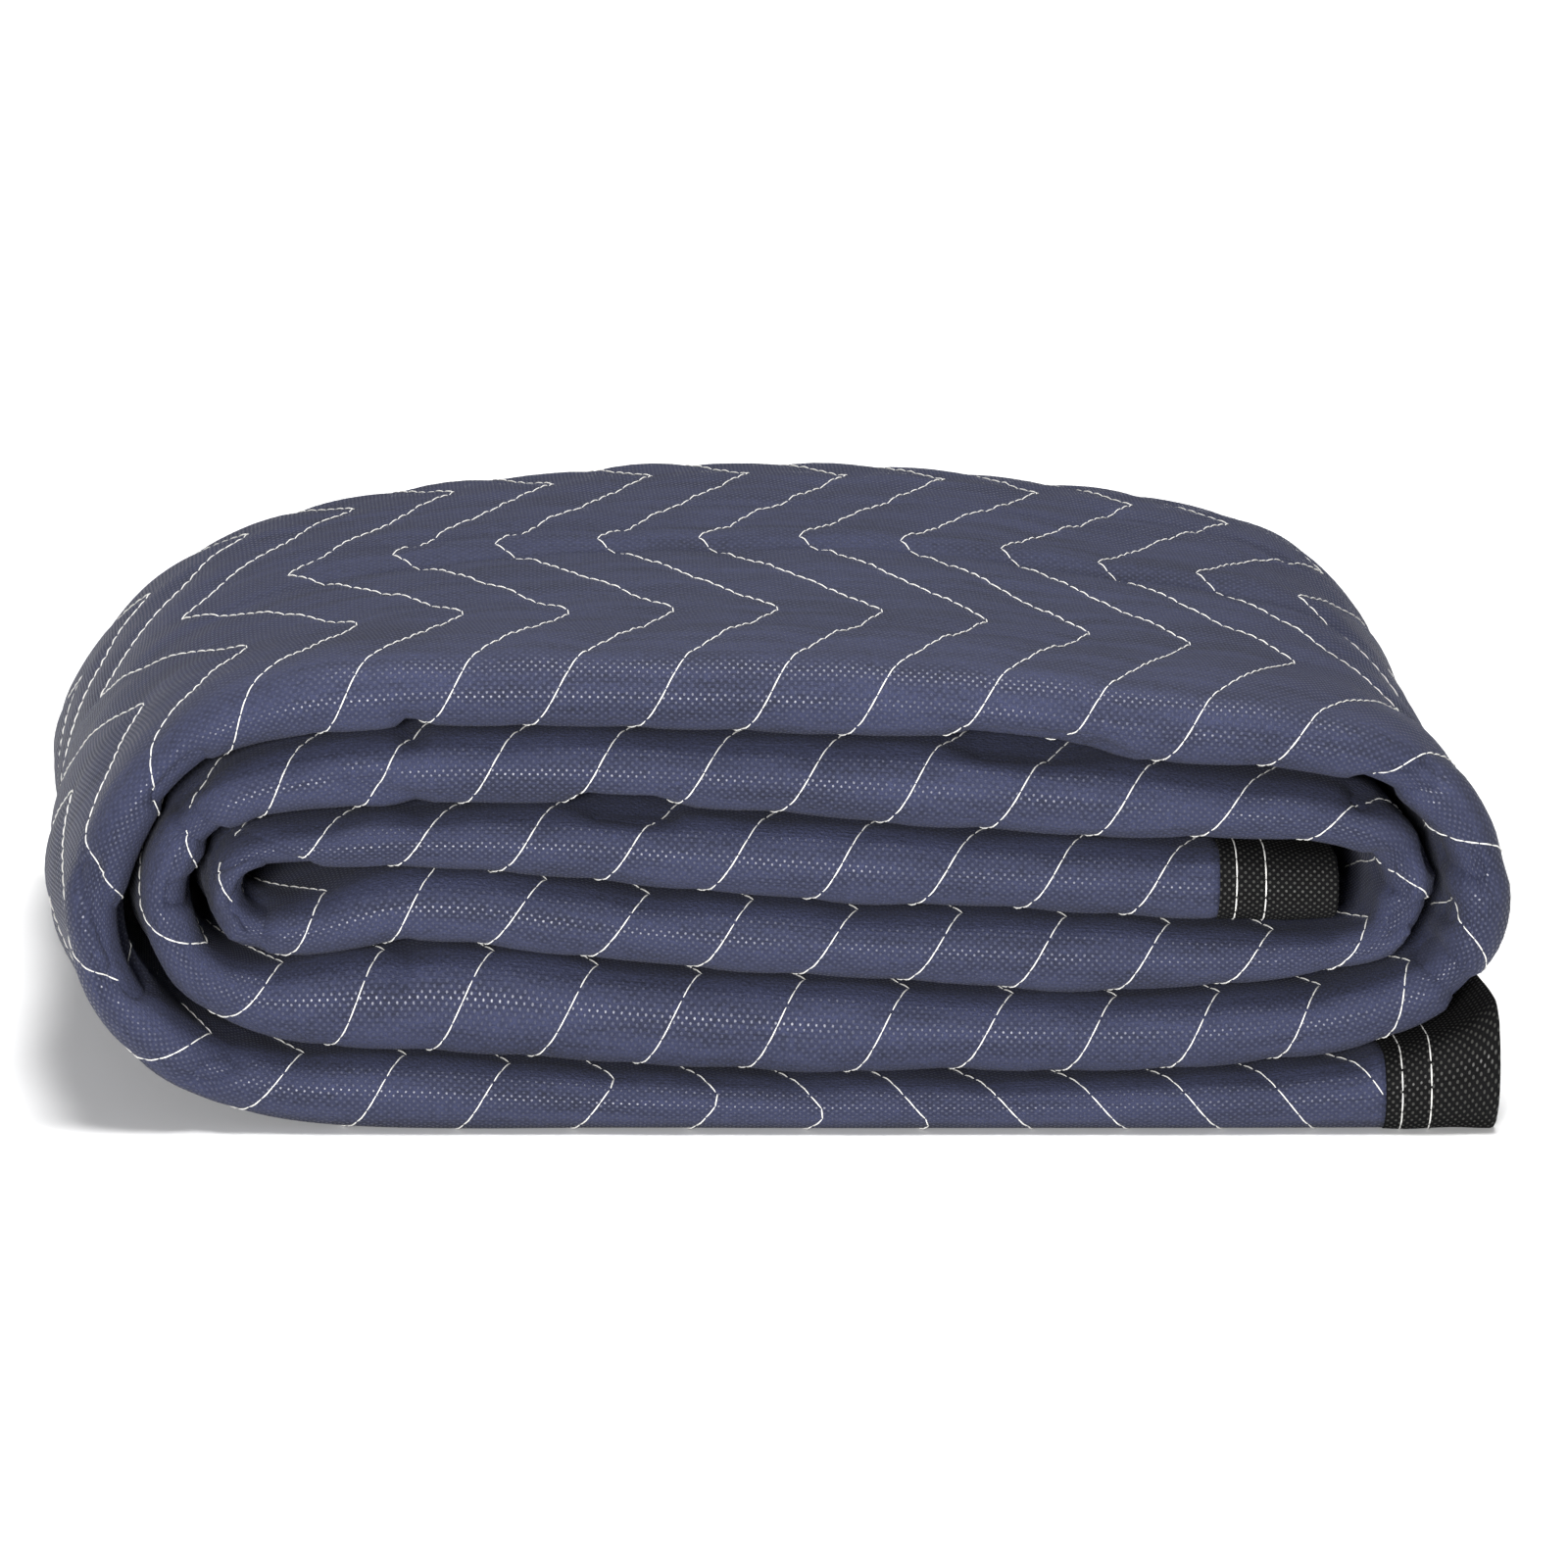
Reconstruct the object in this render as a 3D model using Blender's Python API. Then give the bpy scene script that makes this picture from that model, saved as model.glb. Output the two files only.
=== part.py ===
"""Quilted moving blanket, folded lengthwise into a strip and wound flat in six layers.

Lengths are in millimetres and become metres at the end. X runs along the layers, Y goes from the
front folds to the back, Z is up, and the origin is the middle of the underside.
"""

import math

import bmesh
import bpy
import numpy as np

MILLIMETRE = 0.001

# The strip: the cloth folded across its width into six plies
PLIES = 6
STRIP_DEPTH = 305.0
PLY_GAP = 0.6
NOSE_DEPTH = 10.0
SIDE_SEAM_DEPTH = 268.0
DEPTHS_ALONG_PLY = (67.0, 154.0, SIDE_SEAM_DEPTH)
TUCKED_EDGE_CLEARANCE = 3.0

# The binding sewn along the four edges of the cloth
BINDING_WIDTH = 29.0
SEAM_GAP = 0.3

# The quilting: zigzag lines across the cloth, counted along the winding, each sunk a little
QUILT_PITCH = 25.9
QUILT_START = 6.0
QUILT_SINK = 1.1
ZIGZAG_SWING = 44.5
ZIGZAG_HALF_WAVE = 87.0
ZIGZAG_POINT = 71.0
QUILTED_OUTSIDE = (1180.0, 1770.0)
QUILT_DEPTHS = (40.0, 67.0, 89.0, 111.0, 132.0, 154.0, 176.0, 197.0, 219.0, 241.0,
                SIDE_SEAM_DEPTH)
PRESSED_HEIGHT = 16.0
LEAST_ROW_SPACING = 5.0
SLANT_RADII = (26.0, 50.0)
SLANT_EASE = 50.0

# Places along the section, in panels: each panel's front fold and the flat on each side of it
FOLD_SHARE = 0.2
FLAT_SHARE = 0.35

# How finely the folds and the winding are stepped
NOSE_STEPS = 4
HIDDEN_NOSE_STEPS = 3
WIDE_FOLD_STEPS = 4
TIGHT_FOLD_STEPS = 3
WINDING_STEPS = 58
END_STEPS = 5
STRAIGHT_WEIGHT = 0.0055
CURVE_SAMPLES = 6000

# Heights of the creases between the layers, at five stations across the front
STATIONS = (-96.0, -48.0, 0.0, 48.0, 96.0)
LAYER_GAP = 1.4
CREASES = {
    "floor": (-LAYER_GAP / 2,) * 5,
    "first": (19.0, 15.9, 13.6, 13.4, 14.2),
    "second": (45.6, 42.1, 38.0, 34.8, 34.2),
    "third": (65.1, 61.4, 56.8, 54.5, 52.0),
    "fourth": (79.6, 80.6, 77.6, 74.0, 71.6),
    "fifth": (99.2, 99.4, 98.0, 95.4, 90.5),
    "top": (118.6, 119.4, 118.5, 115.9, 110.4),
}

# The layers in the order they are wound: crease below, crease above, way along X
LAYERS = (
    ("third", "fourth", -1),
    ("second", "third", 1),
    ("fourth", "fifth", -1),
    ("first", "second", 1),
    ("fifth", "top", -1),
    ("floor", "first", 1),
)

# The turns between the layers: x, height and thickness of the strip at points round each turn
INNER_END = ((136.4, 60.7, 15.5),)
TURNS = (
    ((-122.0, 71.0, 11.4), (-133.0, 68.6, 10.8), (-137.2, 60.6, 10.6), (-133.4, 52.4, 11.2),
     (-122.0, 49.6, 12.4)),
    ((140.4, 45.7, 10.2), (150.2, 51.0, 12.8), (154.0, 60.8, 14.6), (150.2, 70.4, 13.4),
     (140.0, 76.6, 12.6)),
    ((-140.8, 79.6, 13.4), (-151.8, 55.6, 13.4), (-138.5, 35.5, 15.6)),
    ((157.4, 34.6, 16.4), (171.8, 57.8, 15.2), (154.6, 88.8, 15.4)),
    ((-144.4, 97.0, 15.2), (-169.4, 52.3, 15.0), (-147.5, 18.2, 16.0)),
)
OUTER_END = ((136.0, 8.3, 16.6), (149.0, 9.6, 19.2), (160.0, 11.4, 22.8), (169.0, 13.0, 26.0),
             (177.0, 16.5, 33.0))
OUTER_END_UPRIGHT = (70.0, 35.0)

# How the pile eases behind its front folds: depth, share of the lean, rise as a share
HALF_SPAN = 170.0
LEAN = (-10.0, 3.4, -2.8)
LEAN_SLOPE = (0.053, -0.061)
EASE = (
    (0.0, 0.0, 0.0),
    (10.0, 0.05, 0.015),
    (67.0, 0.65, 0.030),
    (154.0, 1.0, 0.057),
    (268.0, 1.6, 0.060),
    (305.0, 1.7, 0.0),
)

NAVY = (0.047, 0.055, 0.118, 1.0)
BLACK = (0.012, 0.012, 0.013, 1.0)


def winding_knots():
    """Rows of x, height and thickness that the strip's middle passes through, from the inner end."""
    knots = list(INNER_END)
    for number, (below, above, way) in enumerate(LAYERS):
        for x, low, high in list(zip(STATIONS, CREASES[below], CREASES[above]))[::way]:
            knots.append((x, (low + high) / 2, high - low - LAYER_GAP))
        if number < len(TURNS):
            knots.extend(TURNS[number])
    return np.array(knots + list(OUTER_END))


def smooth_curve(knots, samples):
    """A natural cubic spline through the knots, with the square root of the distances as its pace."""
    gaps = np.linalg.norm(np.diff(knots[:, :2], axis=0), axis=1) ** 0.5
    pace = np.concatenate([[0.0], np.cumsum(gaps)])
    count = len(pace)
    system = np.eye(count)
    bends = np.zeros_like(knots)
    slopes = np.diff(knots, axis=0) / gaps[:, None]
    for row in range(1, count - 1):
        system[row, row - 1:row + 2] = gaps[row - 1], 2 * (gaps[row - 1] + gaps[row]), gaps[row]
        bends[row] = 6 * (slopes[row] - slopes[row - 1])
    bends = np.linalg.solve(system, bends)
    along = np.linspace(0, pace[-1], samples)
    span = np.clip(np.searchsorted(pace, along) - 1, 0, count - 2)
    width = gaps[span][:, None]
    before = (pace[span + 1] - along)[:, None] / width
    after = 1 - before
    bow = (before ** 3 - before) * bends[span] + (after ** 3 - after) * bends[span + 1]
    return before * knots[span] + after * knots[span + 1] + bow * width ** 2 / 6


class Winding:
    """The strip's middle line, measured along its length."""

    def __init__(self):
        self.points = smooth_curve(winding_knots(), CURVE_SAMPLES)
        steps = np.diff(self.points[:, :2], axis=0)
        self.distance = np.concatenate([[0.0], np.cumsum(np.linalg.norm(steps, axis=1))])
        self.length = self.distance[-1]
        heading = np.gradient(self.points[:, :2], self.distance, axis=0)
        self.heading = heading / np.linalg.norm(heading, axis=1)[:, None]
        angle = np.unwrap(np.arctan2(self.heading[:, 1], self.heading[:, 0]))
        bending = np.abs(np.gradient(angle, self.distance))
        tight, open_radius = SLANT_RADII
        radius = 1 / np.maximum(bending, 1 / (2 * open_radius))
        slant = np.clip((radius - tight) / (open_radius - tight), 0, 1)
        steps_in_ease = int(SLANT_EASE / (self.length / CURVE_SAMPLES))
        lowest = np.array([slant[max(0, sample - steps_in_ease):sample + steps_in_ease + 1].min()
                           for sample in range(CURVE_SAMPLES)])
        window = np.ones(steps_in_ease) / steps_in_ease
        self.slant = np.convolve(np.pad(lowest, steps_in_ease, mode="edge"), window, "same")[
            steps_in_ease:-steps_in_ease]
        turning = bending + STRAIGHT_WEIGHT
        self.effort = np.concatenate([[0.0], np.cumsum((turning[1:] + turning[:-1]) / 2
                                                       * np.diff(self.distance))])

    def places(self, start, end, steps):
        """Distances from start to end, closer together where the strip turns."""
        effort = np.interp((start, end), self.distance, self.effort)
        return np.interp(np.linspace(*effort, steps + 1), self.effort, self.distance)

    def at(self, distance):
        """The middle, the direction towards the upper plies, and the thickness at one distance."""
        x, z, thickness, along_x, along_z = (
            np.interp(distance, self.distance, column)
            for column in np.column_stack([self.points, self.heading]).T)
        far, near = OUTER_END_UPRIGHT
        upright = min(max((distance - self.length + far) / (far - near), 0.0), 1.0)
        up_x = (1 - upright) * along_z
        up_z = -upright - (1 - upright) * along_x
        size = math.hypot(up_x, up_z)
        return (x, z), (up_x / size, up_z / size), thickness


class Column:
    """One line of points that runs along the strip at a fixed place of its section.

    The place is found for any thickness, as a depth and a height in the strip. The distance across
    the cloth is counted from the front fold: plus on the half that ends up outermost.
    """

    def __init__(self, place, along_section, across=0.0, quilting=None):
        self.place = place
        self.along_section = along_section
        self.across = across
        self.quilting = quilting


def ply_pitch(thickness):
    """The spacing of the plies, and half of one ply's own thickness."""
    pitch = (thickness + PLY_GAP) / PLIES
    return pitch, (pitch - PLY_GAP) / 2


def flat_place(level, face, depth):
    """A point on one face of the ply at a level, counted in plies from the strip's middle."""
    def place(thickness, sunk=0.0):
        pitch, half = ply_pitch(thickness)
        return depth, level * pitch + face * (half - sunk)
    return place


def nose_place(level, face, angle):
    """A point on a ply's front fold: the angle is 0 at its tip and plus on its outermost half."""
    def place(thickness, sunk=0.0):
        pitch, half = ply_pitch(thickness)
        radius = level * pitch + face * (half - sunk)
        depth = NOSE_DEPTH - NOSE_DEPTH / (thickness / 2) * radius * math.cos(angle)
        return depth, radius * math.sin(angle)
    return place


def back_place(middle, radius, face, angle):
    """A point on a back fold round a middle level; its radius is counted in plies."""
    def place(thickness):
        pitch, half = ply_pitch(thickness)
        outer = radius * pitch + half
        reach = radius * pitch + face * half
        depth = STRIP_DEPTH - outer + reach * math.cos(angle)
        return depth, middle * pitch + reach * math.sin(angle)
    return place


def first_edge_place(face):
    """A corner of the side edge of the innermost panel."""
    return flat_place(0.5, face, SIDE_SEAM_DEPTH + SEAM_GAP + BINDING_WIDTH)


def last_edge_place(face):
    """A corner of the side edge that the wide back fold wraps."""
    def place(thickness):
        pitch, half = ply_pitch(thickness)
        wrapped = STRIP_DEPTH - pitch - half - TUCKED_EDGE_CLEARANCE
        return min(wrapped, SIDE_SEAM_DEPTH + SEAM_GAP + BINDING_WIDTH), -1.5 * pitch - face * half
    return place


def shifted(place, back):
    """The same point, further back."""
    def moved(thickness):
        depth, height = place(thickness)
        return depth + back, height
    return moved


def half_turn(steps):
    """Angles from straight up to straight down."""
    return [math.pi / 2 - math.pi * step / steps for step in range(steps + 1)]


def panel_run(panel, level, face, way):
    """Columns from the side seam round the front fold and back, on one face of one panel.

    The way is 1 where the run starts on the strip's outermost half. Each column's place along the
    section counts panels, and is the same on both faces.
    """
    columns = []
    for depth in DEPTHS_ALONG_PLY[::-1]:
        along = panel - FLAT_SHARE * depth / SIDE_SEAM_DEPTH
        columns.append(Column(flat_place(way * level, way * face, depth), along))
    for step, angle in enumerate(half_turn(HIDDEN_NOSE_STEPS)):
        along = panel + FOLD_SHARE * step / HIDDEN_NOSE_STEPS
        columns.append(Column(nose_place(level, face, way * angle), along))
    for depth in DEPTHS_ALONG_PLY:
        along = panel + FOLD_SHARE + FLAT_SHARE * depth / SIDE_SEAM_DEPTH
        columns.append(Column(flat_place(-way * level, -way * face, depth), along))
    return columns


def outer_run(panel):
    """Columns on the outside face of the outermost panel, which carries the quilting."""
    columns = []
    for depth in DEPTHS_ALONG_PLY[::-1]:
        along = panel - FLAT_SHARE * depth / SIDE_SEAM_DEPTH
        columns.append(Column(flat_place(-2.5, -1, depth), along))
    for step, angle in enumerate(half_turn(NOSE_STEPS)[::-1]):
        along = panel + FOLD_SHARE * step / NOSE_STEPS
        columns.append(Column(nose_place(2.5, 1, angle), along, NOSE_DEPTH * angle, "front"))
    fold_length = NOSE_DEPTH * (math.pi / 2 - 1)
    for depth in QUILT_DEPTHS:
        along = panel + FOLD_SHARE + FLAT_SHARE * depth / SIDE_SEAM_DEPTH
        columns.append(Column(flat_place(2.5, 1, depth), along, depth + fold_length, "outside"))
    return columns


def back_run(panel, middle, radius, face, steps):
    """Columns round the back fold that follows a panel."""
    start = panel + FOLD_SHARE + FLAT_SHARE
    spare = 1 - FOLD_SHARE - 2 * FLAT_SHARE
    return [Column(back_place(middle, radius, face, angle), start + spare * (step + 1) / (steps + 2))
            for step, angle in enumerate(half_turn(steps))]


def panel_columns():
    """The two faces of the quilted cloth, from its first side seam to its last."""
    inner = panel_run(0, 0.5, 1, 1) + back_run(0, -1.5, 1.0, -1, WIDE_FOLD_STEPS)
    inner += panel_run(1, 2.5, -1, -1) + back_run(1, 2.0, 0.5, -1, TIGHT_FOLD_STEPS)
    inner += panel_run(2, 1.5, 1, 1)
    outer = panel_run(0, 0.5, -1, 1) + back_run(0, -1.5, 1.0, 1, WIDE_FOLD_STEPS)
    outer += outer_run(1) + back_run(1, 2.0, 0.5, 1, TIGHT_FOLD_STEPS)
    outer += panel_run(2, 1.5, -1, 1)
    return inner, outer


def whole_columns():
    """The same two faces with the binding widths at both side edges, unquilted."""
    inner, outer = panel_columns()
    first, last = -1.0, 3.0
    inner = [Column(first_edge_place(1), first)] + inner + [Column(last_edge_place(1), last)]
    outer = [Column(first_edge_place(-1), first)] + outer + [Column(last_edge_place(-1), last)]
    for column in outer:
        column.quilting = None
    return inner, outer


def side_columns(edge_place, seam_place):
    """The two faces of the binding along one side edge."""
    return tuple([Column(edge_place(face), 0.0), Column(shifted(seam_place(face), SEAM_GAP), 1.0)]
                 for face in (1, -1))


def zigzag(across):
    """How far a quilting line has swung along the winding at a distance across the cloth."""
    phase = ((across - ZIGZAG_POINT) / ZIGZAG_HALF_WAVE) % 2
    return ZIGZAG_SWING * (min(phase, 2 - phase) - 0.5)


def settle(points):
    """Ease the wound strip: towards the back it leans to -X, stands higher and slopes at its sides."""
    x, y, z = points.T
    depths, leans, rises = np.array(EASE).T
    lean = np.interp(y, depths, leans)
    rise = np.interp(y, depths, rises)
    side = x / HALF_SPAN
    shift, stretch, gather = LEAN
    tilt, droop = LEAN_SLOPE
    return np.column_stack([
        x + lean * (shift + stretch * side + gather * side ** 2),
        y,
        np.clip(z, 0, None) * (1 + rise + lean * (tilt * side + droop * side ** 2)),
    ])


def column_rows(winding, column, places):
    """Rows of (distance, measure for joining, how far sunk) down one column.

    Quilted rows follow the zigzag lines where the winding is open enough for a slanting row.
    """
    start, end = places[0], places[-1]
    span = {"front": (start, end), "outside": QUILTED_OUTSIDE}.get(column.quilting, (start, start))
    swing = zigzag(column.across) if column.quilting else 0.0

    def slant(distance):
        inside = min(distance - span[0], span[1] - distance) / SLANT_EASE
        eased = 1.0 if column.quilting == "front" else min(max(inside, 0.0), 1.0)
        return eased * float(np.interp(distance, winding.distance, winding.slant))

    rows = []
    for number in range(int((end + ZIGZAG_SWING) / (QUILT_PITCH / 2)) + 1):
        line = QUILT_START + number * QUILT_PITCH / 2
        distance = line + swing
        clear = start + LEAST_ROW_SPACING < distance < end - LEAST_ROW_SPACING
        share = slant(distance)
        if clear and share > 0.999:
            rows.append((distance, line, QUILT_SINK if number % 2 == 0 else 0.0))
        elif clear and share > 0 and span[0] < distance < span[1]:
            rows.append((distance, distance - share * swing, 0.0))
    quilted = [row[0] for row in rows]
    for distance in places:
        nearest = min((abs(distance - other) for other in quilted), default=LEAST_ROW_SPACING)
        if distance in (start, end) or nearest >= LEAST_ROW_SPACING:
            rows.append((distance, distance - slant(distance) * swing, 0.0))
    return sorted(rows)


def join_lines(one, other, measures):
    """Triangles between two lines of vertex numbers, advancing along whichever is behind."""
    faces = []
    here, there = 0, 0
    while here < len(one) - 1 or there < len(other) - 1:
        step_here = here < len(one) - 1 and (
            there == len(other) - 1
            or measures[one[here + 1]] + measures[one[here]]
            <= measures[other[there + 1]] + measures[other[there]])
        if step_here:
            faces.append((one[here], one[here + 1], other[there]))
            here += 1
        else:
            faces.append((one[here], other[there + 1], other[there]))
            there += 1
    return faces


def sweep(winding, sides, places):
    """Points and faces of one solid: the two faces of its section carried along the winding."""
    inner, outer = sides
    points = []
    measures = []
    lines = []
    for column in inner + outer[::-1]:
        line = []
        for distance, measure, sunk in column_rows(winding, column, places):
            (x, z), (up_x, up_z), thickness = winding.at(distance)
            if sunk:
                sunk *= min(z / PRESSED_HEIGHT, 1.0)
                depth, height = column.place(thickness, sunk)
            else:
                depth, height = column.place(thickness)
            line.append(len(points))
            measures.append(measure)
            points.append((x + height * up_x, depth, z + height * up_z))
        lines.append(line)
    faces = []
    for number, line in enumerate(lines):
        faces += join_lines(line, lines[(number + 1) % len(lines)], measures)
    for row in (0, -1):
        ends = [line[row] for line in lines]
        along = dict(zip(ends, (column.along_section for column in inner + outer[::-1])))
        cap = join_lines(ends[:len(inner)], ends[len(inner):][::-1], along)
        faces += [face[::-1] for face in cap] if row == 0 else cap
    return settle(np.array(points)), faces


def make_solid(name, points, faces, material):
    """One closed object from points in millimetres."""
    mesh = bpy.data.meshes.new(name)
    solid = bmesh.new()
    vertices = [solid.verts.new(point * MILLIMETRE) for point in points]
    for face in faces:
        solid.faces.new([vertices[index] for index in face])
    bmesh.ops.recalc_face_normals(solid, faces=solid.faces[:])
    if solid.calc_volume(signed=True) < 0:
        bmesh.ops.reverse_faces(solid, faces=solid.faces[:])
    for face in solid.faces:
        face.smooth = True
    solid.to_mesh(mesh)
    solid.free()
    mesh.materials.append(material)
    piece = bpy.data.objects.new(name, mesh)
    bpy.context.scene.collection.objects.link(piece)
    return piece


def make_material(name, colour, roughness):
    """A matt cloth finish."""
    material = bpy.data.materials.new(name)
    material.use_nodes = True
    shader = material.node_tree.nodes["Principled BSDF"]
    shader.inputs["Base Color"].default_value = colour
    shader.inputs["Roughness"].default_value = roughness
    material.diffuse_color = colour
    return material


for existing in list(bpy.data.objects):
    bpy.data.objects.remove(existing, do_unlink=True)

winding = Winding()
inner_seam = BINDING_WIDTH + SEAM_GAP
outer_seam = winding.length - BINDING_WIDTH - SEAM_GAP
panel_places = winding.places(inner_seam, outer_seam, WINDING_STEPS)
shapes = {
    "blanket": (panel_columns(), panel_places, "navy"),
    "binding_inner_end": (whole_columns(), winding.places(0, BINDING_WIDTH, END_STEPS), "black"),
    "binding_outer_end": (
        whole_columns(),
        winding.places(winding.length - BINDING_WIDTH, winding.length, END_STEPS),
        "black"),
    "binding_side_outer": (
        side_columns(first_edge_place, lambda face: flat_place(0.5, face, SIDE_SEAM_DEPTH)),
        panel_places, "black"),
    "binding_side_inner": (
        side_columns(last_edge_place, lambda face: flat_place(-1.5, -face, SIDE_SEAM_DEPTH)),
        panel_places, "black"),
}
materials = {
    "navy": make_material("navy_nonwoven", NAVY, 0.85),
    "black": make_material("black_nonwoven", BLACK, 0.8),
}
swept = {name: sweep(winding, sides, places) for name, (sides, places, _) in shapes.items()}
every_point = np.concatenate([points for points, _ in swept.values()])
lowest = every_point.min(axis=0)
highest = every_point.max(axis=0)
origin = np.array([(lowest[0] + highest[0]) / 2, (lowest[1] + highest[1]) / 2, lowest[2]])
for name, (points, faces) in swept.items():
    make_solid(name, points - origin, faces, materials[shapes[name][2]])
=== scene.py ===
# %% [markdown]
# # A quilted moving blanket, folded and wound
# A moving blanket is two thin faces of non-woven cloth with padding between them, sewn together
# in zigzag lines. This one is folded lengthwise into a strip of six plies, wound flat in six
# layers, and lies with its front folds to the camera. The solid model is the fixed frame: it
# gives the size and the box, and everything below is dressed on it.

# %% The frame
import math

import bmesh
import bpy
import numpy as np
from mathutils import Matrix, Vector
from mathutils.bvhtree import BVHTree


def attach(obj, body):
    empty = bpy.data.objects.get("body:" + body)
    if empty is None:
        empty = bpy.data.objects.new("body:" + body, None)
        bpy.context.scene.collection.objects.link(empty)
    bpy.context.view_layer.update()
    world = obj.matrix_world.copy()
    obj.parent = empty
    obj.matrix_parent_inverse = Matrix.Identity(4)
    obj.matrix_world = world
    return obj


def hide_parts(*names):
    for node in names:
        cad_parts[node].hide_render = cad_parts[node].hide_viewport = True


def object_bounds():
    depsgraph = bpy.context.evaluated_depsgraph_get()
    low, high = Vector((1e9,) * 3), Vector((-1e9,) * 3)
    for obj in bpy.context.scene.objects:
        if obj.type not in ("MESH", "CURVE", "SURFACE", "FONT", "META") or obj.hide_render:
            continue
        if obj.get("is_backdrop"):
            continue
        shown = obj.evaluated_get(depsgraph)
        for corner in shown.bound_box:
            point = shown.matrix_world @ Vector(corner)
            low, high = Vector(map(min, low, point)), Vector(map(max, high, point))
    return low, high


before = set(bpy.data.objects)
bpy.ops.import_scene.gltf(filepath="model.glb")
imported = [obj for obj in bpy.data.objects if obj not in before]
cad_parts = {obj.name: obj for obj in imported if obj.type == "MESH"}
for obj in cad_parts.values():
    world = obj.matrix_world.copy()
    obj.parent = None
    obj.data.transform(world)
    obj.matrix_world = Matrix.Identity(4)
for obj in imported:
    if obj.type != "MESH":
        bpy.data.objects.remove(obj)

cad_low, cad_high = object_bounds()
MILLIMETRE = 0.001
print("nodes:", sorted(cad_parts))
print("box in mm:", [round(x * 1000, 1) for x in cad_high - cad_low])

# %% [markdown]
# ## The way the strip is wound
# Seen from the front, the strip's middle line is one long curve: it starts at the bound end in
# the heart of the roll and goes left and right through six layers to the bound end on the floor.
# It could be traced point by point. Here each layer is the space between two creases, whose
# heights are read at five stations, so that the layers nest as real ones do, and each turn is a
# few rows of x, height and thickness.

# %% Creases, layers and turns, in millimetres
STATIONS = (-96.0, -48.0, 0.0, 48.0, 96.0)
LAYER_GAP = 1.4
CREASES = {
    "floor": (-LAYER_GAP / 2,) * 5,
    "first": (19.0, 15.9, 13.6, 13.4, 14.2),
    "second": (45.6, 42.1, 38.0, 34.8, 34.2),
    "third": (65.1, 61.4, 56.8, 54.5, 52.0),
    "fourth": (79.6, 80.6, 77.6, 74.0, 71.6),
    "fifth": (99.2, 99.4, 98.0, 95.4, 90.5),
    "top": (118.6, 119.4, 118.5, 115.9, 110.4),
}
LAYERS = (  # crease below, crease above, way along X
    ("third", "fourth", -1),
    ("second", "third", 1),
    ("fourth", "fifth", -1),
    ("first", "second", 1),
    ("fifth", "top", -1),
    ("floor", "first", 1),
)
INNER_END = ((136.4, 60.7, 15.5),)  # x, height, thickness
TURNS = (
    ((-122.0, 71.0, 11.4), (-133.0, 68.6, 10.8), (-137.2, 60.6, 10.6), (-133.4, 52.4, 11.2),
     (-122.0, 49.6, 12.4)),
    ((140.4, 45.7, 10.2), (150.2, 51.0, 12.8), (154.0, 60.8, 14.6), (150.2, 70.4, 13.4),
     (140.0, 76.6, 12.6)),
    ((-140.8, 79.6, 13.4), (-151.8, 55.6, 13.4), (-138.5, 35.5, 15.6)),
    ((157.4, 34.6, 16.4), (171.8, 57.8, 15.2), (154.6, 88.8, 15.4)),
    ((-144.4, 97.0, 15.2), (-169.4, 52.3, 15.0), (-147.5, 18.2, 16.0)),
)
OUTER_END = ((136.0, 8.3, 16.6), (149.0, 9.6, 19.2), (160.0, 11.4, 22.8), (169.0, 13.0, 26.0),
             (177.0, 16.5, 33.0))
OUTER_END_UPRIGHT = (70.0, 35.0)

knots = list(INNER_END)
for number, (below, above, way) in enumerate(LAYERS):
    for x, low, high in list(zip(STATIONS, CREASES[below], CREASES[above]))[::way]:
        knots.append((x, (low + high) / 2, high - low - LAYER_GAP))
    knots.extend(TURNS[number] if number < len(TURNS) else OUTER_END)
knots = np.array(knots)
print("knots on the winding:", len(knots))


# %% [markdown]
# ## One smooth line through the knots
# A polyline would show its corners on the turns, so the line is a natural cubic spline. Its pace
# is the square root of the distances, which keeps it from overshooting where knots crowd.

# %% The middle line and its measure
def smooth_curve(rows, samples=9000):
    """A natural cubic spline through rows of numbers, evenly stepped in pace."""
    gaps = np.linalg.norm(np.diff(rows[:, :2], axis=0), axis=1) ** 0.5
    pace = np.concatenate([[0.0], np.cumsum(gaps)])
    count = len(pace)
    system = np.eye(count)
    bends = np.zeros_like(rows)
    slopes = np.diff(rows, axis=0) / gaps[:, None]
    for row in range(1, count - 1):
        system[row, row - 1:row + 2] = gaps[row - 1], 2 * (gaps[row - 1] + gaps[row]), gaps[row]
        bends[row] = 6 * (slopes[row] - slopes[row - 1])
    bends = np.linalg.solve(system, bends)
    along = np.linspace(0, pace[-1], samples)
    span = np.clip(np.searchsorted(pace, along) - 1, 0, count - 2)
    width = gaps[span][:, None]
    before = (pace[span + 1] - along)[:, None] / width
    after = 1 - before
    bow = (before ** 3 - before) * bends[span] + (after ** 3 - after) * bends[span + 1]
    return before * rows[span] + after * rows[span + 1] + bow * width ** 2 / 6


winding = smooth_curve(knots)
winding_distance = np.concatenate(
    [[0.0], np.cumsum(np.linalg.norm(np.diff(winding[:, :2], axis=0), axis=1))])
LENGTH = float(winding_distance[-1])
heading = np.gradient(winding[:, :2], winding_distance, axis=0)
heading /= np.linalg.norm(heading, axis=1)[:, None]
print(f"the strip is {LENGTH:.0f} mm long, an 80 inch cloth")

# %% [markdown]
# ## The section of the strip
# Cut across, the strip shows the whole width of the cloth going forward and back: it starts at
# one side seam, turns at a front fold, goes round a back fold, and so on. Each row is one run of
# the cloth. A face of 1 is the side that ends up outermost on the roll and -1 the other one, so
# one rule places both faces of the cloth.

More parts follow.
